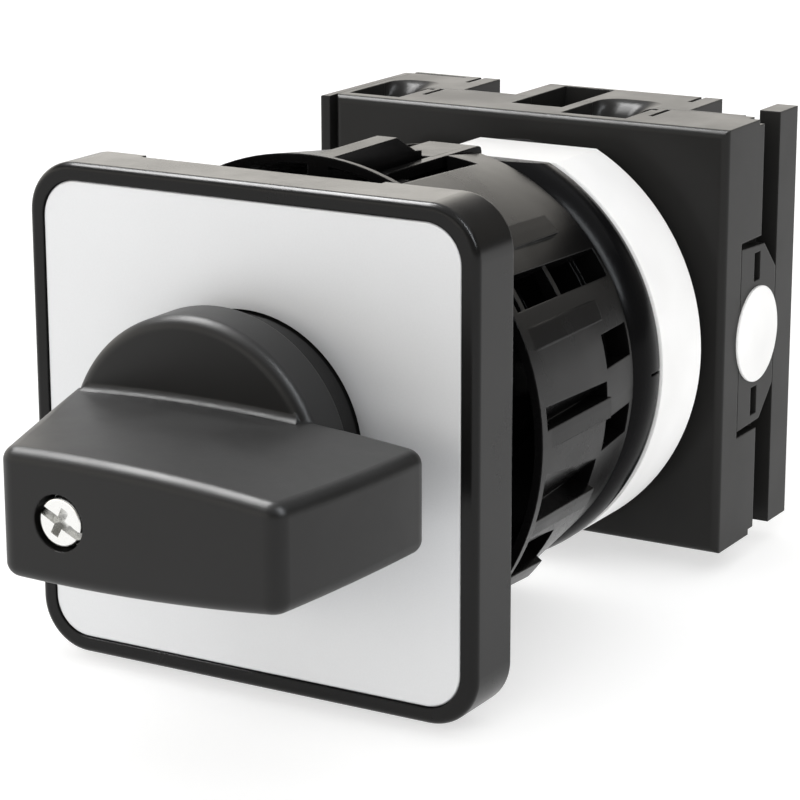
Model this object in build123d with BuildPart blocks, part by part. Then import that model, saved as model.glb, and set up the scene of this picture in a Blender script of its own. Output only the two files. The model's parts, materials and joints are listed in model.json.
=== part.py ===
"""Rotary isolator switch for single-hole panel mounting, as an assembly of separate pieces.

Frame: the shaft axis is the Y axis and the panel's front face is the plane y = 0.
The knob stands in front of the panel (-Y), the contact block behind it (+Y), and +Z is up.
All lengths are in millimetres.
"""

import math
import os

from build123d import *

os.makedirs("parts", exist_ok=True)

# ---- driving dimensions -------------------------------------------------------------------

# front frame and legend plate
frame_size = 48.0
frame_corner = 5.0
frame_depth = 6.5
frame_wall = 1.5
plate_size = 44.7
plate_corner = 3.7
plate_thickness = 0.8
plate_floor_y = -5.6
relief_left_x = -15.0
relief_right_x = 11.0
relief_depth = 0.8

# threaded shank, seal and clamp nut (22.5 mm panel hole)
shank_r = 11.0
collar_r = 12.1
collar_front_y = -10.4
shank_back_y = 16.0
thread_pitch = 1.5
thread_depth = 0.55
panel_gap = 4.4
nut_r = 15.6
nut_depth = 5.0

# knob
knob_disc_r = 13.5
knob_back_y = -10.65
knob_disc_front_y = -15.7
knob_rim_r = 1.2
lever_front_y = -35.2
lever_back_y = -14.0
lever_half_height = 5.85
lever_edge_r = 1.3
lever_corner_r = 1.7
lever_blend_r = 0.8
blend_sink = 0.04
screw_recess_r = 2.5

# drive line
square_side = 5.0
square_play = 0.06
bearing_r = 5.5
running_gap = 0.05
journal_r = 4.0

# adapter cup, coupling ring and detent housing
cup_front_y = 4.4
cup_back_y = 29.25
cup_front_r = 24.8
cup_back_r = 21.8
cup_wall = 2.2
cup_floor = 1.6
hub_r = 12.7
ring_back_y = 34.5
ring_r = 22.4
housing_r = 22.5
housing_back_y = 43.5
flat_z = 20.0
flat_left_x = -3.2
cavity_r = 18.0

# contact block
block_front_y = 46.8
block_split_y = 56.1
block_cover_y = 63.6
block_back_y = 64.8
block_left_x = -23.0
block_right_x = 23.35
block_inner_right_x = 21.0
block_half_height = 22.4
neck_r = 19.5
rail_front_y = 60.2
rail_thickness = 1.35
chamber_half_x = 19.3
chamber_half_z = 12.2
chamber_front_y = 48.6

# terminals: pocket and notch positions repeat across the block
terminal_pitch = 27.05
pocket_left_x = 3.5
pocket_width = 7.5
pocket_front_y = 48.7
pocket_floor_z = 13.0
notch_left_x = 14.65
notch_width = 6.35
notch_floor_z = 14.4

# contacts and cam
cam_r = 6.6
cam_low_r = 5.0
cam_front_y = 52.0
cam_length = 9.0
cam_gap = 0.25
carrier_outer_x = 14.0
bridge_x = 11.6
bridge_thickness = 0.8
contact_x = 9.0
strip_thickness = 0.8
contact_z = 6.6


# ---- helpers --------------------------------------------------------------------------------

def facing(y):
    """The plane at this y, seen from the front: sketch x is +X, sketch y is +Z."""
    return Plane.XZ.offset(-y)


def cup_radius(y):
    """Outer radius of the tapered adapter cup at this y."""
    share = (y - cup_front_y) / (cup_back_y - cup_front_y)
    return cup_front_r + share * (cup_back_r - cup_front_r)


def polar(radius, angle):
    """Point of the sketch plane at this radius and angle in degrees."""
    return (radius * math.cos(math.radians(angle)), radius * math.sin(math.radians(angle)))


def radial_plane(angle):
    """Plane through the shaft axis: sketch x is outward at this angle, sketch y is +Y."""
    x, z = polar(1.0, angle)
    return Plane(origin=(0, 0, 0), x_dir=(x, 0, z), z_dir=(-z, 0, x))


def save(builder, name):
    """Label a finished piece and write its STEP file."""
    builder.part.label = name
    export_step(builder.part, f"parts/{name}.step")


turn_axis = Axis((0, 0, 0), (0, -1, 0))


# ---- front frame --------------------------------------------------------------------------

seal_inner_r = 12.3
seal_outer_r = 16.4
seal_depth = 1.2
boss_r = 18.0
back_pocket_depth = 4.0

with BuildPart() as front_frame:
    with BuildSketch(facing(0)):
        RectangleRounded(frame_size, frame_size, frame_corner)
    extrude(amount=frame_depth)
    fillet(front_frame.faces().sort_by(Axis.Y)[0].edges(), radius=0.7)
    with BuildSketch(facing(plate_floor_y)):
        RectangleRounded(plate_size + 0.1, plate_size + 0.1, plate_corner)
    extrude(amount=frame_depth, mode=Mode.SUBTRACT)
    with BuildSketch(facing(0)):
        inner = frame_size - 2 * frame_wall
        RectangleRounded(inner, inner, frame_corner - frame_wall)
        Circle(boss_r, mode=Mode.SUBTRACT)
        Rectangle(inner, 1.4, mode=Mode.SUBTRACT)
        Rectangle(1.4, inner, mode=Mode.SUBTRACT)
    extrude(amount=back_pocket_depth, mode=Mode.SUBTRACT)
    with BuildSketch(facing(0)):
        Circle(seal_outer_r)
        Circle(seal_inner_r, mode=Mode.SUBTRACT)
    extrude(amount=seal_depth, mode=Mode.SUBTRACT)
    with BuildSketch(facing(0)):
        Circle(shank_r)
    extrude(amount=frame_depth, mode=Mode.SUBTRACT)
    with BuildSketch(facing(0)):
        with Locations(((relief_left_x + relief_right_x) / 2, 0)):
            Rectangle(relief_right_x - relief_left_x, frame_size + 2)
        Rectangle(frame_size + 2, frame_size - 8, mode=Mode.SUBTRACT)
    extrude(amount=relief_depth, mode=Mode.SUBTRACT)
save(front_frame, "front_frame")

with BuildPart() as legend_plate:
    with BuildSketch(facing(plate_floor_y)):
        RectangleRounded(plate_size, plate_size, plate_corner)
        Circle(collar_r + 0.2, mode=Mode.SUBTRACT)
    extrude(amount=plate_thickness)
    fillet(legend_plate.faces().sort_by(Axis.Y)[0].outer_wire().edges(), radius=0.25)
save(legend_plate, "legend_plate")


# ---- shank, seal and nut ------------------------------------------------------------------

thread_start_y = 4.6
thread_turns = 7
shank_rear_bore_r = 9.4
bearing_back_y = 3.0

with BuildPart() as threaded_shank:
    with BuildSketch(facing(plate_floor_y)):
        Circle(collar_r)
    extrude(amount=plate_floor_y - collar_front_y)
    with BuildSketch(facing(shank_back_y)):
        Circle(shank_r)
    extrude(amount=shank_back_y - plate_floor_y)
    with BuildSketch(Plane.XY):
        for turn in range(thread_turns):
            groove_y = thread_start_y + 0.9 + turn * thread_pitch
            with BuildLine():
                Polyline(
                    (shank_r + 0.1, groove_y - 0.6),
                    (shank_r - thread_depth, groove_y),
                    (shank_r + 0.1, groove_y + 0.6),
                    close=True,
                )
            make_face()
    revolve(axis=Axis.Y, mode=Mode.SUBTRACT)
    chamfer(threaded_shank.edges().filter_by(GeomType.CIRCLE).group_by(Axis.Y)[-1], length=0.5)
    with BuildSketch(facing(shank_back_y)):
        Circle(bearing_r + running_gap)
    extrude(amount=shank_back_y - collar_front_y, mode=Mode.SUBTRACT)
    with BuildSketch(facing(shank_back_y)):
        Circle(shank_rear_bore_r)
    extrude(amount=shank_back_y - bearing_back_y, mode=Mode.SUBTRACT)
    with BuildSketch(facing(2.4)):
        with Locations((0, shank_r + 0.2)):
            Rectangle(2.6, 1.8)
    extrude(amount=2.4)
    with BuildSketch(facing(shank_back_y)):
        Rectangle(2 * shank_r + 2, 3.0)
    extrude(amount=3.5, mode=Mode.SUBTRACT)
save(threaded_shank, "threaded_shank")

with BuildPart() as panel_seal:
    with BuildSketch(facing(0)):
        Circle(seal_outer_r - 0.1)
        Circle(seal_inner_r + 0.1, mode=Mode.SUBTRACT)
    extrude(amount=seal_depth)
save(panel_seal, "panel_seal")

with BuildPart() as clamp_nut:
    with BuildSketch(facing(panel_gap + nut_depth)):
        Circle(nut_r)
        Circle(shank_r + 0.02, mode=Mode.SUBTRACT)
        with PolarLocations(nut_r, 8):
            Rectangle(2.4, 3.0, mode=Mode.SUBTRACT)
    extrude(amount=nut_depth)
save(clamp_nut, "clamp_nut")


# ---- knob and its fixings --------------------------------------------------------------------

screw_head_front_y = -35.0
screw_head_r = 2.2
screw_head_depth = 1.5
washer_depth = 0.5
screw_seat_y = screw_head_front_y + screw_head_depth + washer_depth
spindle_front_y = -28.0
screw_r = 1.5
screw_tip_y = -16.0

# hollow rounding where the lever meets the disc, above and below
with BuildPart() as lever_blend:
    with BuildLine() as blend_path:
        ThreePointArc(
            (-15.0, knob_disc_front_y, 5.2),
            (0, knob_disc_front_y, lever_half_height),
            (27.0, knob_disc_front_y, 4.0),
        )
    blend_plane = Plane(origin=blend_path.line @ 0, x_dir=(0, -1, 0), z_dir=blend_path.line % 0)
    with BuildSketch(blend_plane):
        with BuildLine():
            Polyline(
                (lever_blend_r, blend_sink),
                (lever_blend_r, 0.4),
                (-0.4, 0.4),
                (-0.4, -lever_blend_r),
                (-blend_sink, -lever_blend_r),
            )
            nearest = lever_blend_r * (1 - math.cos(math.radians(45)))
            ThreePointArc(
                (-blend_sink, -lever_blend_r), (nearest, -nearest), (lever_blend_r, blend_sink)
            )
        make_face()
    sweep(path=blend_path.line)
    with BuildSketch(facing(knob_disc_front_y + 1)):
        Circle(knob_disc_r - 0.7)
    extrude(amount=3, mode=Mode.INTERSECT)
    mirror(about=Plane.XY)

with BuildPart() as grip_knob:
    with BuildSketch(Plane.XY.offset(-7)):
        with BuildLine():
            Polyline((23.5, lever_back_y), (-13.6, lever_back_y), (-5.9, lever_front_y))
            Line((-5.9, lever_front_y), (21.7, lever_front_y))
            ThreePointArc((21.7, lever_front_y), (23.0, -24.5), (23.5, lever_back_y))
        make_face()
    extrude(amount=14)
    with BuildSketch(facing(0)):
        with BuildLine():
            ThreePointArc((-15.0, 5.2), (0, lever_half_height), (27.0, 4.0))
            Line((27.0, 4.0), (27.0, -4.0))
            ThreePointArc((27.0, -4.0), (0, -lever_half_height), (-15.0, -5.2))
            Line((-15.0, -5.2), (-15.0, 5.2))
        make_face()
    extrude(amount=40, mode=Mode.INTERSECT)
    upright = grip_knob.edges().filter_by(Axis.Z)
    fillet(upright.group_by(Axis.Y)[0], radius=lever_corner_r)
    fillet(grip_knob.edges().filter_by(Axis.Z).sort_by(Axis.X)[-1:], radius=lever_corner_r)
    upper_rim = grip_knob.faces().sort_by(Axis.Z)[-1].edges()
    lower_rim = grip_knob.faces().sort_by(Axis.Z)[0].edges()
    fillet(upper_rim + lower_rim, radius=lever_edge_r)
    with BuildSketch(Plane.XY):
        with BuildLine():
            Line((0, knob_disc_front_y), (knob_disc_r - knob_rim_r, knob_disc_front_y))
            RadiusArc(
                (knob_disc_r - knob_rim_r, knob_disc_front_y),
                (knob_disc_r, knob_disc_front_y + knob_rim_r),
                -knob_rim_r,
            )
            Polyline(
                (knob_disc_r, knob_disc_front_y + knob_rim_r),
                (knob_disc_r, knob_back_y),
                (0, knob_back_y),
                (0, knob_disc_front_y),
            )
        make_face()
    revolve(axis=Axis.Y)
    add(lever_blend.part)
    with BuildSketch(facing(knob_back_y)):
        Rectangle(square_side + square_play, square_side + square_play)
    extrude(amount=knob_back_y - spindle_front_y, mode=Mode.SUBTRACT)
    with BuildSketch(facing(knob_back_y)):
        Circle(screw_r + 0.2)
    extrude(amount=knob_back_y - lever_front_y, mode=Mode.SUBTRACT)
    with BuildSketch(facing(screw_seat_y)):
        Circle(screw_recess_r)
    extrude(amount=5, mode=Mode.SUBTRACT)
save(grip_knob, "grip_knob")

slot_angle = -27.0

with BuildPart() as knob_screw:
    with BuildSketch(facing(screw_head_front_y + screw_head_depth)):
        Circle(screw_head_r)
    extrude(amount=screw_head_depth)
    fillet(knob_screw.faces().sort_by(Axis.Y)[0].edges(), radius=0.35)
    with BuildSketch(facing(screw_tip_y)):
        Circle(screw_r)
    extrude(amount=screw_tip_y - screw_head_front_y - screw_head_depth)
    with BuildSketch(facing(screw_head_front_y + 0.9)):
        Rectangle(2 * screw_head_r + 1, 0.75, rotation=slot_angle)
    extrude(amount=1.5, mode=Mode.SUBTRACT)
    with BuildSketch(facing(screw_head_front_y + 1.1)):
        Rectangle(2.6, 0.8, rotation=slot_angle)
        Rectangle(0.8, 2.6, rotation=slot_angle)
    extrude(amount=1.5, mode=Mode.SUBTRACT)
save(knob_screw, "knob_screw")

with BuildPart() as spring_washer:
    with BuildSketch(facing(screw_seat_y)):
        Circle(2.3)
        Circle(screw_r + 0.1, mode=Mode.SUBTRACT)
        with Locations((2.0, 0)):
            Rectangle(1.6, 0.3, mode=Mode.SUBTRACT, rotation=15)
    extrude(amount=washer_depth)
save(spring_washer, "spring_washer")

spindle_back_y = 18.5
ring_groove_y = 0.0
ring_section = 0.75

with BuildPart() as spindle:
    with BuildSketch(facing(spindle_back_y)):
        Rectangle(square_side, square_side)
    extrude(amount=spindle_back_y - spindle_front_y)
    with BuildSketch(facing(bearing_back_y + 1.0)):
        Circle(bearing_r)
    extrude(amount=bearing_back_y + 1.0 - knob_back_y)
    with BuildSketch(Plane.XY):
        with Locations((bearing_r, ring_groove_y)):
            Rectangle(2 * ring_section, 2 * ring_section)
    revolve(axis=Axis.Y, mode=Mode.SUBTRACT)
    with BuildSketch(facing(screw_tip_y + 1.5)):
        Circle(screw_r + 0.02)
    extrude(amount=screw_tip_y + 1.5 - spindle_front_y, mode=Mode.SUBTRACT)
save(spindle, "spindle")

with BuildPart() as shaft_seal:
    with BuildSketch(Plane.XY):
        with Locations((bearing_r - ring_section / 2, ring_groove_y)):
            Circle(ring_section / 2)
    revolve(axis=Axis.Y)
save(shaft_seal, "shaft_seal")

sleeve_front_y = 9.0
sleeve_back_y = 28.5

with BuildPart() as coupling_sleeve:
    with BuildSketch(facing(sleeve_back_y)):
        Circle(7.4)
        Rectangle(square_side + square_play, square_side + square_play, mode=Mode.SUBTRACT)
        with PolarLocations(7.4, 6):
            Circle(1.2, mode=Mode.SUBTRACT)
    extrude(amount=sleeve_back_y - sleeve_front_y)
save(coupling_sleeve, "coupling_sleeve")


# ---- adapter cup ---------------------------------------------------------------------------

rim_thickness = 0.85
hub_front_y = 10.2

# angles in degrees from +X towards +Z, with the y range of each opening or rib
window_places = [(29.3, 37.2, 5.6, 28.6), (8.2, 16.6, 22.1, 28.7), (-12.3, -4.3, 21.6, 28.3)]
# raised pads: angles at the front and at the back, then where they end and how far they stand out there
pad_places = [
    ((42.6, 48.5), (43.2, 48.8), 22.3, 0.65),
    ((20.4, 25.3), (20.0, 25.1), 22.0, 0.65),
    ((-1.0, 4.2), (-3.5, 2.6), 21.7, 0.45),
    ((-21.4, -16.6), (-25.5, -19.5), 20.4, 0.75),
    ((-36.5, -32.0), (-41.5, -35.0), 14.4, 0.72),
]
pad_front_y = 5.2
# finger hollows above three of the pads: upper and lower angle at the front, the same at the back, then their end
scoop_places = [
    ((8.3, 3.2), (5.3, 1.6), 21.7),
    ((-6.5, -17.6), (-13.5, -20.5), 20.4),
    ((-21.6, -33.0), (-27.7, -36.0), 14.4),
]
scoop_front_y = 5.7
scoop_depth = 1.7


def cut_box(x_from, x_to, y_from, y_to, z_from, z_to):
    """Cut a plain box out of the piece being built."""
    with BuildSketch(facing(y_to)) as opening:
        with Locations(((x_from + x_to) / 2, (z_from + z_to) / 2)):
            Rectangle(x_to - x_from, abs(z_to - z_from))
    extrude(opening.sketch, amount=y_to - y_from, mode=Mode.SUBTRACT)


def cup_slice(angle_from, angle_to, y_from, y_to, inside, outside, mode):
    """Part of a turned ring that follows the cup's taper, between two angles."""
    with BuildSketch(radial_plane(angle_from)) as profile:
        with BuildLine():
            Polyline(
                (cup_radius(y_from) - inside, y_from),
                (cup_radius(y_from) + outside, y_from),
                (cup_radius(y_to) + outside, y_to),
                (cup_radius(y_to) - inside, y_to),
                close=True,
            )
        make_face()
    revolve(profile.sketch, axis=turn_axis, revolution_arc=angle_to - angle_from, mode=mode)


def cup_pad(front, back, y_to, height):
    """Raised pad that starts flush with the cup at the front and stands out at the back."""
    sections = []
    for y, (low, high), rise in ((pad_front_y, front, -0.04), (y_to, back, height)):
        radius = cup_radius(y)
        with BuildSketch(facing(y)) as section:
            with BuildLine():
                Polyline(
                    polar(radius - 0.5, low),
                    polar(radius + rise, low),
                    polar(radius + rise, (low + high) / 2),
                    polar(radius + rise, high),
                    polar(radius - 0.5, high),
                    close=True,
                )
            make_face()
        sections.append(section.sketch)
    loft(sections, ruled=True)


def cup_scoop(front, back, y_to):
    """Hollow whose floor slopes inward from its upper edge and ends in a step at its lower edge."""
    sections = []
    for y, (high, deep) in ((scoop_front_y, front), (y_to, back)):
        radius = cup_radius(y)
        with BuildSketch(facing(y)) as section:
            with BuildLine():
                Polyline(
                    polar(radius + 1.4, high),
                    polar(radius - 0.05, high),
                    polar(radius - scoop_depth, deep),
                    polar(radius + 1.4, deep),
                    close=True,
                )
            make_face()
        sections.append(section.sketch)
    loft(sections, ruled=True, mode=Mode.SUBTRACT)


with BuildPart() as adapter_cup:
    with BuildSketch(Plane.XY):
        with BuildLine():
            Polyline(
                (cup_front_r - rim_thickness, cup_front_y),
                (cup_front_r, cup_front_y),
                (cup_back_r, cup_back_y),
                (8.6, cup_back_y),
                (8.6, cup_back_y - cup_floor),
                (shank_r + 0.1, cup_back_y - cup_floor),
                (shank_r + 0.1, hub_front_y),
                (hub_r, hub_front_y),
                (hub_r, cup_back_y - cup_floor),
                (cup_back_r - cup_wall, cup_back_y - cup_floor),
                (cup_radius(9.0) - cup_wall, 9.0),
                close=True,
            )
        make_face()
    revolve(axis=Axis.Y)
    for half_turn in (0, 180):
        for front, back, y_end, height in pad_places:
            cup_pad(
                (front[0] + half_turn, front[1] + half_turn),
                (back[0] + half_turn, back[1] + half_turn),
                y_end,
                height,
            )
        for low, high, y_low, y_high in window_places:
            cup_slice(low + half_turn, high + half_turn, y_low, y_high, 2.6, 1.0, Mode.SUBTRACT)
        for front, back, y_end in scoop_places:
            cup_scoop(
                (front[0] + half_turn, front[1] + half_turn),
                (back[0] + half_turn, back[1] + half_turn),
                y_end,
            )
        for y_bar in (8.4, 17.4):
            cup_slice(29.0 + half_turn, 37.5 + half_turn, y_bar, y_bar + 0.9, 2.2, -0.9, Mode.ADD)
    # top opening with the bar beside it, and room for the release latch
    with BuildSketch(Plane.XY.offset(18.5)):
        with BuildLine():
            Polyline((2.25, 5.3), (9.5, 5.3), (7.0, 24.3), (4.6, 22.7), (2.25, 22.7), close=True)
        make_face()
    extrude(amount=8.0, mode=Mode.SUBTRACT)
    with BuildSketch(facing(cup_back_y)):
        with Locations((1.35, 23.2)):
            Rectangle(6.3, 5.8)
    extrude(amount=cup_back_y - 21.7, mode=Mode.SUBTRACT)
    with BuildSketch(Plane.YZ):
        with BuildLine():
            Polyline(
                (cup_front_y, 22.0),
                (cup_front_y, 24.55),
                (17.1, 24.55),
                (21.5, 22.2),
                (21.5, 20.9),
                close=True,
            )
        make_face()
    extrude(amount=2.25)
    with BuildSketch(facing(13.4)):
        for ear_x in (2.0, 5.3):
            with Locations((ear_x, 16.6)):
                Rectangle(0.9, 9.6)
    extrude(amount=3.0)
    with BuildSketch(Plane.YZ):
        with Locations((11.9, 20.3)):
            Circle(0.82)
    extrude(amount=8, mode=Mode.SUBTRACT)
    with BuildSketch(facing(cup_back_y)):
        with Locations((-15.0, 0), (15.0, 0)):
            Circle(1.3)
    extrude(amount=cup_floor, mode=Mode.SUBTRACT)
save(adapter_cup, "adapter_cup")

latch_back_y = 30.4

with BuildPart() as release_latch:
    with BuildSketch(Plane.YZ.offset(3.0)):
        with BuildLine():
            Polyline(
                (10.5, 19.2),
                (10.5, 21.6),
                (12.5, 22.1),
                (latch_back_y - 0.6, 21.9),
                (latch_back_y - 0.18, 21.72),
                (latch_back_y, 21.3),
                (latch_back_y, 19.4),
                (latch_back_y - 0.8, 19.4),
                (latch_back_y - 0.8, 20.9),
                (13.5, 20.9),
                (13.5, 19.2),
                close=True,
            )
        make_face()
    extrude(amount=1.1)
    with BuildSketch(Plane.YZ.offset(-1.5)):
        with BuildLine():
            Polyline(
                (22.1, 20.9),
                (22.1, 22.0),
                (latch_back_y - 0.6, 21.9),
                (latch_back_y - 0.18, 21.72),
                (latch_back_y, 21.3),
                (latch_back_y, 19.4),
                (latch_back_y - 0.8, 19.4),
                (latch_back_y - 0.8, 20.9),
                close=True,
            )
        make_face()
    extrude(amount=4.7)
    with BuildSketch(Plane.YZ):
        with Locations((11.9, 20.3)):
            Circle(0.8 + running_gap)
    extrude(amount=6, mode=Mode.SUBTRACT)
save(release_latch, "release_latch")

with BuildPart() as latch_pin:
    with BuildSketch(Plane.YZ.offset(1.55)):
        with Locations((11.9, 20.3)):
            Circle(0.8)
    extrude(amount=4.2)
save(latch_pin, "latch_pin")

with BuildPart() as adapter_screws:
    with BuildSketch(facing(cup_back_y - cup_floor)):
        with Locations((-15.0, 0), (15.0, 0)):
            Circle(2.2)
    extrude(amount=1.4)
    with BuildSketch(facing(36.5)):
        with Locations((-15.0, 0), (15.0, 0)):
            Circle(1.2)
    extrude(amount=36.5 - cup_back_y + cup_floor)
    with BuildSketch(facing(cup_back_y - cup_floor - 0.6)):
        with Locations((-15.0, 0), (15.0, 0)):
            Rectangle(3.0, 0.7)
            Rectangle(0.7, 3.0)
    extrude(amount=2, mode=Mode.SUBTRACT)
save(adapter_screws, "adapter_screws")


# ---- coupling ring and detent housing --------------------------------------------------------

with BuildPart() as coupling_ring:
    with BuildSketch(Plane.XY):
        with BuildLine():
            Line((8.6, cup_back_y), (cup_back_r - 0.6, cup_back_y))
            ThreePointArc(
                (cup_back_r - 0.6, cup_back_y),
                (ring_r + 0.05, 31.8),
                (ring_r - 0.25, ring_back_y),
            )
            Polyline((ring_r - 0.25, ring_back_y), (8.6, ring_back_y), (8.6, cup_back_y))
        make_face()
    revolve(axis=Axis.Y)
    # top flat, which slopes like the cup, then the slot for the latch's hook and a small seam on the side
    with BuildSketch(Plane.YZ.offset(-25.0)):
        with BuildLine():
            Polyline((cup_back_y, 20.7), (ring_back_y, flat_z), (ring_back_y, 26.0), (cup_back_y, 26.0), close=True)
        make_face()
    extrude(amount=50.0, mode=Mode.SUBTRACT)
    with BuildSketch(facing(latch_back_y + 0.4)):
        with Locations((1.3, flat_z)):
            Rectangle(6.4, 3.0)
    extrude(amount=latch_back_y + 0.4 - cup_back_y, mode=Mode.SUBTRACT)
    cut_box(21.9, 23.0, 31.9, ring_back_y, 0.2, 0.45)
    with BuildSketch(facing(ring_back_y)):
        with Locations((-15.0, 0), (15.0, 0)):
            Circle(1.3)
    extrude(amount=6, mode=Mode.SUBTRACT)
save(coupling_ring, "coupling_ring")

housing_wall_y = 36.2
tie_r = 1.0
tie_places = [(0, 15.5), (0, -15.5)]

with BuildPart() as detent_housing:
    with BuildSketch(facing(housing_back_y)):
        Circle(housing_r)
        with Locations((0, flat_z + 5)):
            Rectangle(50, 10, mode=Mode.SUBTRACT)
    extrude(amount=housing_back_y - ring_back_y)
    with BuildSketch(facing(housing_back_y)):
        Circle(cavity_r)
    extrude(amount=housing_back_y - housing_wall_y, mode=Mode.SUBTRACT)
    # the flat ends in a step, with a wall under the lower part
    with BuildSketch(facing(housing_back_y)):
        with Locations((-5.4, 17.2)):
            Rectangle(9.0, 2.2)
    extrude(amount=housing_back_y - housing_wall_y + 0.1)
    cut_box(-24.0, flat_left_x, ring_back_y - 0.1, housing_back_y, 18.2, 23.0)
    with BuildSketch(facing(housing_wall_y)):
        Circle(journal_r + running_gap)
        with Locations((-15.0, 0), (15.0, 0)):
            Circle(1.2)
    extrude(amount=2, mode=Mode.SUBTRACT)
    # stops for the rotor's arm, then posts that hold the detent springs
    with BuildSketch(facing(38.6)):
        for stop_angle in (118.0, 242.0):
            with PolarLocations(14.4, 1, start_angle=stop_angle):
                Rectangle(8.0, 3.2)
    extrude(amount=38.6 - housing_wall_y)
    with BuildSketch(facing(42.6)):
        for side_x in (-12.9, 12.9):
            for side_z in (-1, 1):
                with Locations((side_x, side_z * 10.9)):
                    Rectangle(1.8, 1.5)
                with Locations((side_x, side_z * 13.9)):
                    Rectangle(1.8, 3.4)
    extrude(amount=42.6 - housing_wall_y)
    with BuildSketch(facing(housing_back_y)):
        with Locations(*tie_places):
            Circle(2.4)
    extrude(amount=housing_back_y - housing_wall_y)
    with BuildSketch(facing(housing_back_y)):
        with Locations(*tie_places):
            Circle(tie_r)
    extrude(amount=5, mode=Mode.SUBTRACT)
save(detent_housing, "detent_housing")

shaft_front_y = 19.5
shaft_back_y = 63.4

with BuildPart() as cam_shaft:
    with BuildSketch(facing(shaft_back_y)):
        Circle(journal_r)
    extrude(amount=2.0)
    with BuildSketch(facing(shaft_back_y - 2.0)):
        Rectangle(square_side, square_side)
    extrude(amount=shaft_back_y - 2.0 - shaft_front_y)
    with BuildSketch(facing(36.4)):
        Circle(journal_r)
    extrude(amount=2.6)
    with BuildSketch(facing(chamber_front_y + 0.4)):
        Circle(journal_r)
    extrude(amount=chamber_front_y + 0.4 - 42.8)
save(cam_shaft, "cam_shaft")

star_r = 9.4
star_front_y = 39.0
star_back_y = 42.2
valley_centre_r = 11.2
valley_r = 3.2
arm_angle = 135.0

with BuildPart() as detent_star:
    with BuildSketch(facing(star_back_y)):
        Circle(star_r)
        with PolarLocations(valley_centre_r, 4):
            Circle(valley_r, mode=Mode.SUBTRACT)
    extrude(amount=star_back_y - star_front_y)
    with BuildSketch(facing(star_front_y)):
        Circle(7.0)
        with PolarLocations(8.5, 1, start_angle=arm_angle):
            Rectangle(9.0, 3.0)
    extrude(amount=star_front_y - 36.6)
    with BuildSketch(facing(star_back_y)):
        Rectangle(square_side + square_play, square_side + square_play)
    extrude(amount=10, mode=Mode.SUBTRACT)
save(detent_star, "detent_star")

for side, name in ((1, "detent_spring_top"), (-1, "detent_spring_bottom")):
    with BuildPart() as detent_spring:
        with BuildSketch(facing(star_back_y - 0.2)):
            with BuildLine() as spring_line:
                Polyline((-13.0, side * 12.0), (-7.0, side * 12.0), (-2.4, side * 9.9))
                ThreePointArc((-2.4, side * 9.9), (0, side * 8.35), (2.4, side * 9.9))
                Polyline((2.4, side * 9.9), (7.0, side * 12.0), (13.0, side * 12.0))
            trace(line_width=0.4)
        extrude(amount=2.8)
    save(detent_spring, name)


# ---- contact block housings -----------------------------------------------------------------

tie_clearance = 0.15
tie_head_r = 1.8
clip_front_y = 51.1
clip_middle_z = -0.375
clip_seat_half_height = 10.4
clip_seat_depth = 1.35
terminal_y = 52.2
recess_half_height = 13.0
recess_left_x = -21.0
recess_right_x = 19.6


def pocket_columns():
    """Left edge of each terminal pocket: one right of the axis, one a pitch to the left."""
    return (pocket_left_x, pocket_left_x - terminal_pitch + 1.3)


def pocket_width_at(left_x):
    """The left-hand pockets are narrower, to leave a wall at the block's edge."""
    return pocket_width if left_x > 0 else pocket_width - 1.3


def notch_columns():
    """Left edge of each open notch at the rear of the block."""
    return (notch_left_x, notch_left_x - terminal_pitch)


def strip_slots(end, y_to):
    """Slots that let the fixed contact strips pass out of the contact chamber."""
    cut_box(contact_x - 0.05, contact_x + strip_thickness + 0.05, 50.8, y_to, end * 12.0, end * 13.9)
    cut_box(-16.4, -contact_x + 0.05, 50.8, y_to, end * 12.0, end * 13.9)


def surface_slits(end):
    """Narrow moulding slits in the upper and lower faces."""
    deep = end * (block_half_height - 1.2)
    over = end * (block_half_height + 0.5)
    cut_box(-14.85, -14.35, 51.6, 55.7, deep, over)
    cut_box(12.4, 12.9, 51.3, 55.7, deep, over)
    cut_box(-14.8, -14.3, 61.1, block_back_y, deep, over)
    cut_box(12.2, 12.7, 61.3, block_back_y, deep, over)
    cut_box(block_left_x, -16.35, 63.8, 64.2, deep, over)


def wire_funnel(end):
    """Funnels that lead a wire down to each terminal, wide and gently sloped at their right and rear sides."""
    for left_x in pocket_columns():
        width = pocket_width_at(left_x)
        middle_x = left_x + width / 2
        sections = []
        for height, narrower, shorter, corner, shift in (
            (block_half_height + 0.02, 0.0, 0.0, 2.4, 0.0),
            (21.5, 1.9, 1.9, 2.0, 0.95),
            (19.6, 2.7, 3.1, 1.6, 1.4),
            (16.4, 2.8, 3.4, 1.5, 1.45),
        ):
            with BuildSketch(Plane.XY.offset(end * height)) as section:
                with Locations((middle_x - shift, block_split_y - 0.4 - shift)):
                    RectangleRounded(width - narrower, 8.2 - shorter, corner)
            sections.append(section.sketch)
        loft(sections, mode=Mode.SUBTRACT)


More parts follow.
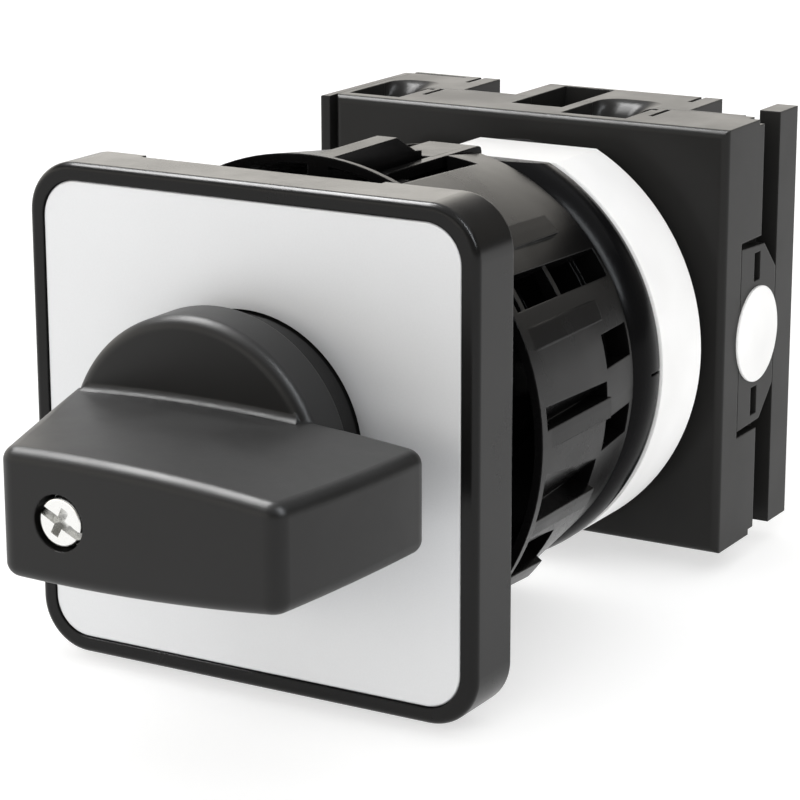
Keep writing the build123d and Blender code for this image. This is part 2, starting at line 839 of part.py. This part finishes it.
with BuildPart() as front_housing:
    with BuildSketch(facing(block_split_y)):
        with Locations(((block_left_x + block_right_x) / 2, 0)):
            Rectangle(block_right_x - block_left_x, 2 * block_half_height)
    extrude(amount=block_split_y - block_front_y)
    fillet(front_housing.faces().sort_by(Axis.Y)[0].edges(), radius=0.8)
    with BuildSketch(facing(block_front_y)):
        Circle(neck_r)
    extrude(amount=block_front_y - housing_back_y)
    # narrow step at the ends of the right-hand rear edge, and the side clip's seat
    cut_box(22.2, 24.0, 54.9, block_split_y, 21.8, 23.0)
    cut_box(22.2, 24.0, 54.9, block_split_y, -23.0, -21.8)
    seat_top_z = clip_middle_z + clip_seat_half_height
    seat_bottom_z = clip_middle_z - clip_seat_half_height
    seat_x = block_right_x - clip_seat_depth
    cut_box(seat_x, 24.0, clip_front_y, block_split_y, seat_bottom_z, seat_top_z)
    # contact chamber and cam shaft bearing
    cut_box(-chamber_half_x, chamber_half_x, chamber_front_y, block_split_y, -chamber_half_z, chamber_half_z)
    with BuildSketch(facing(chamber_front_y)):
        Circle(journal_r + running_gap)
    extrude(amount=10, mode=Mode.SUBTRACT)
    for end in (1, -1):
        for left_x in pocket_columns():
            right_x = left_x + pocket_width_at(left_x)
            cut_box(left_x, right_x, pocket_front_y, 55.4, end * pocket_floor_z, end * 23.0)
        wire_funnel(end)
        strip_slots(end, block_split_y)
        surface_slits(end)
        cut_box(-3.85, 2.1, 51.6, block_split_y, end * 17.9, end * 23.0)
        cut_box(10.95, 11.6, 54.8, 55.5, end * 20.6, end * 23.0)
        cut_box(-15.9, -15.3, 54.8, 55.5, end * 20.6, end * 23.0)
    with BuildSketch(facing(block_split_y)):
        with Locations(*tie_places):
            Circle(tie_r + tie_clearance)
    extrude(amount=block_split_y - housing_back_y, mode=Mode.SUBTRACT)
    # the left-hand edge is a little wider below its top corner
    with BuildSketch(facing(block_split_y - 0.3)):
        with Locations((block_left_x - 0.22, -0.9)):
            Rectangle(0.44, 38.8)
    extrude(amount=block_split_y - 0.3 - 48.0)
save(front_housing, "front_housing")

with BuildPart() as rear_housing:
    with BuildSketch(facing(block_back_y)):
        with Locations(((block_left_x + block_inner_right_x) / 2, 0)):
            Rectangle(block_inner_right_x - block_left_x, 2 * block_half_height)
    extrude(amount=block_back_y - block_split_y)
    with BuildSketch(facing(block_back_y)):
        with Locations(((block_inner_right_x + block_right_x) / 2, 0)):
            Rectangle(block_right_x - block_inner_right_x, 2 * block_half_height)
    extrude(amount=block_back_y - rail_front_y)
    cut_box(-chamber_half_x, chamber_half_x, block_split_y, block_back_y, -chamber_half_z, chamber_half_z)
    cut_box(
        recess_left_x, recess_right_x, block_cover_y, block_back_y, -recess_half_height, recess_half_height
    )
    for end in (1, -1):
        for left_x in notch_columns():
            cut_box(left_x, left_x + notch_width, 56.6, block_back_y, end * notch_floor_z, end * 23.0)
        wire_funnel(end)
        strip_slots(end, 59.2)
        surface_slits(end)
        cut_box(-3.85, 2.1, block_split_y, 64.2, end * 17.9, end * 23.0)
    with BuildSketch(facing(block_back_y)):
        with Locations(*tie_places):
            Circle(tie_r + tie_clearance)
    extrude(amount=block_back_y - block_split_y, mode=Mode.SUBTRACT)
    with BuildSketch(facing(block_back_y)):
        with Locations(*tie_places):
            Circle(tie_head_r + 0.1)
    extrude(amount=1.9, mode=Mode.SUBTRACT)
save(rear_housing, "rear_housing")

with BuildPart() as rear_cover:
    with BuildSketch(facing(block_back_y)):
        with Locations(((recess_left_x + recess_right_x) / 2, 0)):
            Rectangle(recess_right_x - recess_left_x, 2 * recess_half_height)
    extrude(amount=block_back_y - block_cover_y)
    with BuildSketch(facing(block_cover_y)):
        Circle(6.0)
    extrude(amount=1.3)
    with BuildSketch(facing(block_cover_y + 0.1)):
        Circle(journal_r + running_gap)
    extrude(amount=3, mode=Mode.SUBTRACT)
save(rear_cover, "rear_cover")

with BuildPart() as tie_screws:
    with BuildSketch(facing(block_back_y - 0.3)):
        with Locations(*tie_places):
            Circle(tie_head_r)
    extrude(amount=1.6)
    with BuildSketch(facing(block_back_y - 0.3)):
        with Locations(*tie_places):
            Circle(tie_r)
    extrude(amount=block_back_y - 0.3 - 38.6)
    with BuildSketch(facing(block_back_y)):
        with Locations(*tie_places):
            Rectangle(2.6, 0.6)
            Rectangle(0.6, 2.6)
    extrude(amount=1.1, mode=Mode.SUBTRACT)
save(tie_screws, "tie_screws")


# ---- cam, contact bridges and terminals --------------------------------------------------------

carrier_front_y = 53.0
carrier_back_y = 60.0
bridge_front_y = 54.4
bridge_back_y = 58.6
bridge_half_height = 10.0
spring_r = 2.2
spring_wire_r = 0.3
spring_turns = 4


def cam_quarter():
    """Points of a quarter of the cam outline, falling evenly from the X axis to the Z axis."""
    points = []
    for step in range(13):
        angle = step * 7.5
        points.append(polar(cam_r + (cam_low_r - cam_r) * angle / 90, angle))
    return points


with BuildPart() as cam_disc:
    with BuildSketch(facing(cam_front_y + cam_length)):
        with BuildLine():
            quarter = cam_quarter()
            Spline(*quarter)
            Spline(*[(-x, z) for x, z in quarter])
            Spline(*[(-x, -z) for x, z in quarter])
            Spline(*[(x, -z) for x, z in quarter])
        make_face()
        Rectangle(square_side + square_play, square_side + square_play, mode=Mode.SUBTRACT)
    extrude(amount=cam_length)
save(cam_disc, "cam_disc")

for side, name in ((1, "right"), (-1, "left")):
    nose_x = side * (cam_r + cam_gap)
    back_x = side * carrier_outer_x

    with BuildPart() as bridge_carrier:
        with BuildSketch(facing(carrier_back_y)):
            with Locations(((nose_x + back_x) / 2, 0)):
                Rectangle(abs(back_x - nose_x), 8.0)
        extrude(amount=carrier_back_y - carrier_front_y)
        carrier_nose = bridge_carrier.faces().sort_by(Axis.X)[0 if side > 0 else -1]
        fillet(carrier_nose.edges().filter_by(Axis.Y), radius=1.5)
        bridge_middle_x = side * (bridge_x + bridge_thickness / 2)
        with BuildSketch(facing(bridge_back_y)):
            with Locations((bridge_middle_x, 0)):
                Rectangle(bridge_thickness, 10.0)
        extrude(amount=bridge_back_y - bridge_front_y, mode=Mode.SUBTRACT)
        spring_plane = Plane(origin=(back_x, 56.5, 0), z_dir=(side, 0, 0))
        with BuildSketch(spring_plane):
            Circle(1.4)
        extrude(amount=1.4)
    save(bridge_carrier, f"bridge_carrier_{name}")

    with BuildPart() as contact_bridge:
        with BuildSketch(facing(bridge_back_y)):
            with Locations((bridge_middle_x, 0)):
                Rectangle(bridge_thickness, 2 * bridge_half_height)
        extrude(amount=bridge_back_y - bridge_front_y)
    save(contact_bridge, f"contact_bridge_{name}")

    coil_start_x = side * (carrier_outer_x + spring_wire_r)
    coil_length = chamber_half_x - carrier_outer_x - 2 * spring_wire_r
    with BuildPart() as bridge_spring:
        with BuildLine() as coil:
            Helix(
                pitch=coil_length / spring_turns,
                height=coil_length,
                radius=spring_r,
                center=(coil_start_x, 56.5, 0),
                direction=(side, 0, 0),
            )
        with BuildSketch(Plane(origin=coil.line @ 0, z_dir=coil.line % 0)):
            Circle(spring_wire_r)
        sweep(is_frenet=True)
    save(bridge_spring, f"bridge_spring_{name}")

screw_places = []
for left_x in pocket_columns():
    screw_places.append((left_x + pocket_width_at(left_x) / 2, terminal_y))

for side, side_name in ((1, "right"), (-1, "left")):
    for end, end_name in ((1, "top"), (-1, "bottom")):
        screw_x = screw_places[0][0] if side > 0 else screw_places[1][0]
        strip_outer_x = side * (contact_x + strip_thickness)
        pad_far_x = screw_x - 2.7
        pad_near_x = contact_x if side > 0 else -contact_x
        with BuildPart() as fixed_contact:
            with BuildSketch(facing(58.6)):
                with Locations((side * (contact_x + strip_thickness / 2), end * (contact_z + 13.8) / 2)):
                    Rectangle(strip_thickness, 13.8 - contact_z)
            extrude(amount=58.6 - 51.2)
            with BuildSketch(facing(55.2)):
                with Locations(((pad_far_x + pad_near_x) / 2, end * 13.4)):
                    Rectangle(pad_near_x - pad_far_x, 0.8)
            extrude(amount=55.2 - 51.2)
            with BuildSketch(facing(55.2)):
                with Locations((screw_x, end * 13.4)):
                    Rectangle(5.4, 0.8)
            extrude(amount=55.2 - 49.2)
            # silver pad that the bridge meets
            pad_plane = Plane(origin=(strip_outer_x, 56.5, end * 8.3), z_dir=(side, 0, 0))
            with BuildSketch(pad_plane):
                Circle(1.4)
            extrude(amount=0.18)
            with BuildSketch(Plane.XY.offset(end * 13.0)):
                with Locations((screw_x, terminal_y)):
                    Circle(1.5)
            extrude(amount=end * 2, mode=Mode.SUBTRACT)
        save(fixed_contact, f"fixed_contact_{side_name}_{end_name}")

with BuildPart() as clamp_plates:
    for end in (1, -1):
        with BuildSketch(Plane.XY.offset(end * 13.9)):
            with Locations(*screw_places):
                Rectangle(5.2, 5.4)
                Circle(1.5, mode=Mode.SUBTRACT)
        extrude(amount=end * 1.0)
save(clamp_plates, "clamp_plates")

with BuildPart() as terminal_screws:
    for end in (1, -1):
        with BuildSketch(Plane.XY.offset(end * 13.1)):
            with Locations(*screw_places):
                Circle(1.5)
        extrude(amount=end * 1.8)
        with BuildSketch(Plane.XY.offset(end * 14.9)):
            with Locations(*screw_places):
                Circle(2.6)
        extrude(amount=end * 1.9)
        with BuildSketch(Plane.XY.offset(end * 16.0)):
            with Locations(*screw_places):
                Rectangle(6.0, 0.8, rotation=35)
        extrude(amount=end * 2, mode=Mode.SUBTRACT)
save(terminal_screws, "terminal_screws")


# ---- side fittings ----------------------------------------------------------------------------

disc_y = 55.4
disc_z = -0.36
disc_r = 5.1

with BuildPart() as side_clip_right:
    with BuildSketch(Plane.YZ.offset(block_right_x - clip_seat_depth)):
        with BuildLine():
            Polyline(
                (clip_front_y + 0.1, 9.35),
                (57.0, 9.05),
                (60.1, 6.0),
                (60.1, -6.7),
                (56.8, -9.9),
                (clip_front_y + 0.1, -10.1),
                close=True,
            )
        make_face()
        with Locations((55.25, 6.9), (55.25, -7.6)):
            Rectangle(1.5, 3.0, mode=Mode.SUBTRACT)
    extrude(amount=clip_seat_depth)
save(side_clip_right, "side_clip_right")

with BuildPart() as side_label_disc:
    with BuildSketch(Plane.YZ.offset(block_right_x)):
        with Locations((disc_y, disc_z)):
            Circle(disc_r)
    extrude(amount=0.25)
save(side_label_disc, "side_label_disc")

with BuildPart() as side_plate_left:
    with BuildSketch(Plane.YZ.offset(-25.0)):
        with Locations(((block_front_y + block_back_y) / 2, 0)):
            Rectangle(block_back_y - block_front_y, 44.4)
    extrude(amount=1.35)
    fillet(side_plate_left.faces().sort_by(Axis.X)[0].edges(), radius=0.5)
    with BuildSketch(Plane.YZ.offset(-23.65)):
        with Locations((59.5, 0)):
            Rectangle(5.0, 24.0)
    extrude(amount=0.65)
save(side_plate_left, "side_plate_left")
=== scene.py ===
import json
import math

import bpy
from mathutils import Matrix, Vector


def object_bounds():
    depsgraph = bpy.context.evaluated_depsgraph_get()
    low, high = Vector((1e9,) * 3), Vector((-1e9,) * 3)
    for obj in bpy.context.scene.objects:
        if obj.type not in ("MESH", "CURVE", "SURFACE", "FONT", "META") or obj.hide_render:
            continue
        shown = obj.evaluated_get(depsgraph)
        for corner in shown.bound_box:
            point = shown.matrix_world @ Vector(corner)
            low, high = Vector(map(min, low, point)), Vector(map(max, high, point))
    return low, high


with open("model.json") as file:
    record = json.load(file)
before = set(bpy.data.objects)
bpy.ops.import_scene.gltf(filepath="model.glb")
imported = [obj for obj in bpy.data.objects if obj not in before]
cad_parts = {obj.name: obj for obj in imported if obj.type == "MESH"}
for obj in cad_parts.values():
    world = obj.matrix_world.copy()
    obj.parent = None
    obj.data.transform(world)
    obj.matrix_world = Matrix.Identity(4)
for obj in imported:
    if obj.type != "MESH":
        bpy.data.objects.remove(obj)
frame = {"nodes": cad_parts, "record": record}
cad_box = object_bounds()

MM = 0.001
nodes = frame["nodes"]


# ---- materials ------------------------------------------------------------------------------

plastic_ior = 1.46
edge_radius_mm = 0.22
bevel_samples = 4


def new_material(name):
    material = bpy.data.materials.new(name)
    material.use_nodes = True
    tree = material.node_tree
    shader = tree.nodes["Principled BSDF"]
    return material, tree, shader


def noise(tree, scale, detail, stretch=(1, 1, 1), rough=0.55):
    place = tree.nodes.new("ShaderNodeTexCoord")
    mapping = tree.nodes.new("ShaderNodeMapping")
    mapping.inputs["Scale"].default_value = stretch
    tree.links.new(place.outputs["Object"], mapping.inputs["Vector"])
    texture = tree.nodes.new("ShaderNodeTexNoise")
    texture.inputs["Scale"].default_value = scale
    texture.inputs["Detail"].default_value = detail
    texture.inputs["Roughness"].default_value = rough
    tree.links.new(mapping.outputs["Vector"], texture.inputs["Vector"])
    return texture.outputs["Fac"]


def grain_scale(size_mm):
    """Noise scale whose specks are about this many millimetres across."""
    return 0.5 / (size_mm * MM)


def remap(tree, value, from_range, to_range):
    node = tree.nodes.new("ShaderNodeMapRange")
    node.inputs["From Min"].default_value = from_range[0]
    node.inputs["From Max"].default_value = from_range[1]
    node.inputs["To Min"].default_value = to_range[0]
    node.inputs["To Max"].default_value = to_range[1]
    tree.links.new(value, node.inputs["Value"])
    return node.outputs["Result"]


def two_colours(tree, value, first, second):
    ramp = tree.nodes.new("ShaderNodeValToRGB")
    low, high = ramp.color_ramp.elements
    low.position = 0.3
    low.color = (*first, 1)
    high.position = 0.7
    high.color = (*second, 1)
    tree.links.new(value, ramp.inputs["Fac"])
    return ramp.outputs["Color"]


def uneven_gloss(tree, value, shader, below, above):
    tree.links.new(remap(tree, value, (0.35, 0.65), (below, above)), shader.inputs["Roughness"])


def relief(tree, shader, height, depth_mm, under=None):
    """Surface relief of the given depth, laid over the normal of another node if there is one."""
    bump = tree.nodes.new("ShaderNodeBump")
    bump.inputs["Distance"].default_value = depth_mm * MM
    bump.inputs["Strength"].default_value = 1.0
    tree.links.new(height, bump.inputs["Height"])
    if under is not None:
        tree.links.new(under, bump.inputs["Normal"])
    tree.links.new(bump.outputs["Normal"], shader.inputs["Normal"])


def plastic(name, colour, rough, grain=0.16, depth=0.0011, gloss=0.5):
    """Moulded plastic or rubber: spark-eroded grain, faint clouds, uneven gloss, slightly rounded edges."""
    material, tree, shader = new_material(name)
    cloud = noise(tree, 45.0, 3.0)
    fine = noise(tree, grain_scale(grain), 2.0)
    handled = noise(tree, 140.0, 5.0, rough=0.6)
    darker = tuple(c * 0.88 for c in colour)
    lighter = tuple(min(1.0, c * 1.14) for c in colour)
    tree.links.new(two_colours(tree, cloud, darker, lighter), shader.inputs["Base Color"])
    uneven_gloss(tree, handled, shader, rough - 0.025, rough + 0.035)
    shader.inputs["IOR"].default_value = plastic_ior
    shader.inputs["Specular IOR Level"].default_value = gloss
    rounded = tree.nodes.new("ShaderNodeBevel")
    rounded.samples = bevel_samples
    rounded.inputs["Radius"].default_value = edge_radius_mm * MM
    relief(tree, shader, fine, depth, under=rounded.outputs["Normal"])
    return material


def metal(name, colour, rough, stretch=(1, 1, 1), grain=0.12, depth=0.0006, patch=0.94, metallic=1.0):
    """Plated or drawn metal: fine lines or grain, faint patches, gloss that varies along them."""
    material, tree, shader = new_material(name)
    lines = noise(tree, grain_scale(grain), 3.0, stretch)
    cloud = noise(tree, 120.0, 4.0)
    darker = tuple(c * patch for c in colour)
    tree.links.new(two_colours(tree, cloud, darker, colour), shader.inputs["Base Color"])
    shader.inputs["Metallic"].default_value = metallic
    uneven_gloss(tree, lines, shader, rough - 0.03, rough + 0.04)
    relief(tree, shader, lines, depth)
    return material


looks = {
    "frame_plastic": plastic("frame_plastic", (0.0040, 0.0039, 0.0038), 0.24, gloss=0.23),
    "knob_plastic": plastic("knob_plastic", (0.0026, 0.0025, 0.0024), 0.42, gloss=0.385),
    "adapter_plastic": plastic("adapter_plastic", (0.0026, 0.0025, 0.0026), 0.25, gloss=0.078),
    "ring_plastic": plastic("ring_plastic", (0.0030, 0.0030, 0.0033), 0.22, gloss=0.06),
    "nut_plastic": plastic("nut_plastic", (0.005, 0.005, 0.005), 0.34, gloss=0.3),
    "block_plastic": plastic("block_plastic", (0.0145, 0.0143, 0.0138), 0.30, gloss=0.125),
    "inner_plastic": plastic("inner_plastic", (0.52, 0.48, 0.41), 0.42),
    "white_plastic": plastic("white_plastic", (0.95, 0.95, 0.945), 0.5),
    "label_white": plastic("label_white", (0.86, 0.86, 0.855), 0.55),
    "plate_silver": metal(
        "plate_silver", (0.64, 0.648, 0.66), 0.58,
        grain=0.10, depth=0.0003, patch=0.985, metallic=0.6,
    ),
    "seal_rubber": plastic("seal_rubber", (0.018, 0.018, 0.018), 0.68, grain=0.3, depth=0.004),
    "zinc_steel": metal("zinc_steel", (0.80, 0.80, 0.785), 0.24),
    "plated_steel": metal("plated_steel", (0.62, 0.62, 0.61), 0.30, stretch=(1, 0.1, 1)),
    "spring_steel": metal("spring_steel", (0.5, 0.5, 0.51), 0.26),
    "contact_copper": metal("contact_copper", (0.74, 0.45, 0.30), 0.28, patch=0.88),
}

look_of = {row["node"]: row["material_slot"] for row in frame["record"]["subparts"]}
look_of["coupling_ring"] = "ring_plastic"
for name, obj in nodes.items():
    look = looks[look_of[name]]
    for slot in obj.material_slots:
        slot.material = look
    if not obj.material_slots:
        obj.data.materials.append(look)


# ---- camera ---------------------------------------------------------------------------------

camera_place_mm = Vector((142.88, -223.23, 74.55))
azimuth = math.radians(30.30)
elevation = math.radians(15.26)
roll = math.radians(-0.12)
back = Vector((
    math.sin(azimuth) * math.cos(elevation),
    -math.cos(azimuth) * math.cos(elevation),
    math.sin(elevation),
))
level = (-back).cross(Vector((0, 0, 1))).normalized()
upright = back.cross(level)
right = level * math.cos(roll) + upright * math.sin(roll)
up = upright * math.cos(roll) - level * math.sin(roll)

camera_data = bpy.data.cameras.new("camera")
camera_data.lens = 132.8
camera_data.sensor_width = 36.0
camera_data.clip_start = 0.01
camera_data.clip_end = 20.0
camera = bpy.data.objects.new("camera", camera_data)
bpy.context.scene.collection.objects.link(camera)
turn = Matrix((right, up, back)).transposed()
camera.matrix_world = Matrix.Translation(camera_place_mm * MM) @ turn.to_4x4()
bpy.context.scene.camera = camera


# ---- floor ----------------------------------------------------------------------------------

floor_half = 4.0
floor_gap = 0.0002
floor_grey = 0.62
floor_glow = 0.58

floor_material, _, floor_shader = new_material("floor")
floor_shader.inputs["Base Color"].default_value = (floor_grey, floor_grey, floor_grey, 1)
floor_shader.inputs["Roughness"].default_value = 0.9
floor_shader.inputs["Specular IOR Level"].default_value = 0.0
floor_shader.inputs["Emission Color"].default_value = (1, 1, 1, 1)
floor_shader.inputs["Emission Strength"].default_value = floor_glow
floor_z = cad_box[0][2] - floor_gap
floor_mesh = bpy.data.meshes.new("floor")
floor_mesh.from_pydata([
    (-floor_half, -floor_half, floor_z),
    (floor_half, -floor_half, floor_z),
    (floor_half, floor_half, floor_z),
    (-floor_half, floor_half, floor_z),
], [], [(0, 1, 2, 3)])
floor = bpy.data.objects.new("floor", floor_mesh)
bpy.context.scene.collection.objects.link(floor)
floor_mesh.materials.append(floor_material)


# ---- lamps ----------------------------------------------------------------------------------

def area_light(
    name, place, size, power,
    target=(0, 0, 0), colour=(1, 1, 1), in_glossy=True, in_diffuse=True,
):
    """Rectangular lamp, in metres and watts, that may be left out of reflections or of diffuse light."""
    data = bpy.data.lights.new(name, "AREA")
    data.shape = "RECTANGLE"
    data.size, data.size_y = size
    data.energy = power
    data.color = colour
    light = bpy.data.objects.new(name, data)
    bpy.context.scene.collection.objects.link(light)
    toward = Vector(target) - Vector(place)
    aim = toward.to_track_quat("-Z", "Y").to_matrix().to_4x4()
    light.matrix_world = Matrix.Translation(Vector(place)) @ aim
    light.visible_glossy = in_glossy
    light.visible_diffuse = in_diffuse


# a wide ceiling that lights the floor and the white parts
area_light("ceiling", (0, 0, 2.4), (6.0, 6.0), 98.0)
area_light("fill", (0.5, -2.2, 0.9), (2.5, 2.0), 41.0, in_glossy=False)
area_light("side fill", (2.2, 0.1, 0.35), (2.0, 1.2), 14.0, in_glossy=False)
# a long strip from overhead down the right side, seen only as the bright line along rounded parts
area_light(
    "strip", (0.95, -0.03, 0.85), (0.13, 1.0), 15.0,
    target=(0.0, 0.03, 0.0), colour=(0.92, 0.96, 1.0), in_diffuse=False,
)
# a bright lamp up on the left, seen only as the thin line along edges between a top and a front
area_light("edge lamp", (-0.75, 0.10, 1.30), (1.1, 0.35), 48.0, in_diffuse=False)


# ---- room -----------------------------------------------------------------------------------

# colour of the room by the height that one looks at: bright around the horizon, dark overhead
room_strength = 2.3
room_floor = (0.30, 0.30, 0.30)
room_top = (0.006, 0.006, 0.007)
room_between = (
    (0.06, (0.55, 0.535, 0.51)),
    (0.16, (0.95, 0.92, 0.86)),
    (0.31, (0.95, 0.91, 0.84)),
    (0.42, (0.30, 0.29, 0.28)),
    (0.53, (0.03, 0.03, 0.033)),
)

world = bpy.data.worlds.new("world")
world.use_nodes = True
sky = world.node_tree
background = sky.nodes["Background"]
direction = sky.nodes.new("ShaderNodeTexCoord")
parts = sky.nodes.new("ShaderNodeSeparateXYZ")
sky.links.new(direction.outputs["Generated"], parts.inputs[0])
ramp = sky.nodes.new("ShaderNodeValToRGB")
elements = ramp.color_ramp.elements
elements[0].position = 0.0
elements[0].color = (*room_floor, 1)
elements[1].position = 1.0
elements[1].color = (*room_top, 1)
for height, colour in room_between:
    stop = elements.new(height)
    stop.color = (*colour, 1)
sky.links.new(parts.outputs["Z"], ramp.inputs["Fac"])
# the right-hand side of the room is darker than the left
side = remap(sky, parts.outputs["X"], (-0.15, 0.35), (1.0, 0.12))
shade = sky.nodes.new("ShaderNodeVectorMath")
shade.operation = "SCALE"
sky.links.new(ramp.outputs["Color"], shade.inputs[0])
sky.links.new(side, shade.inputs["Scale"])
sky.links.new(shade.outputs["Vector"], background.inputs["Color"])
background.inputs["Strength"].default_value = room_strength
bpy.context.scene.world = world
bpy.context.scene.view_settings.view_transform = "Standard"
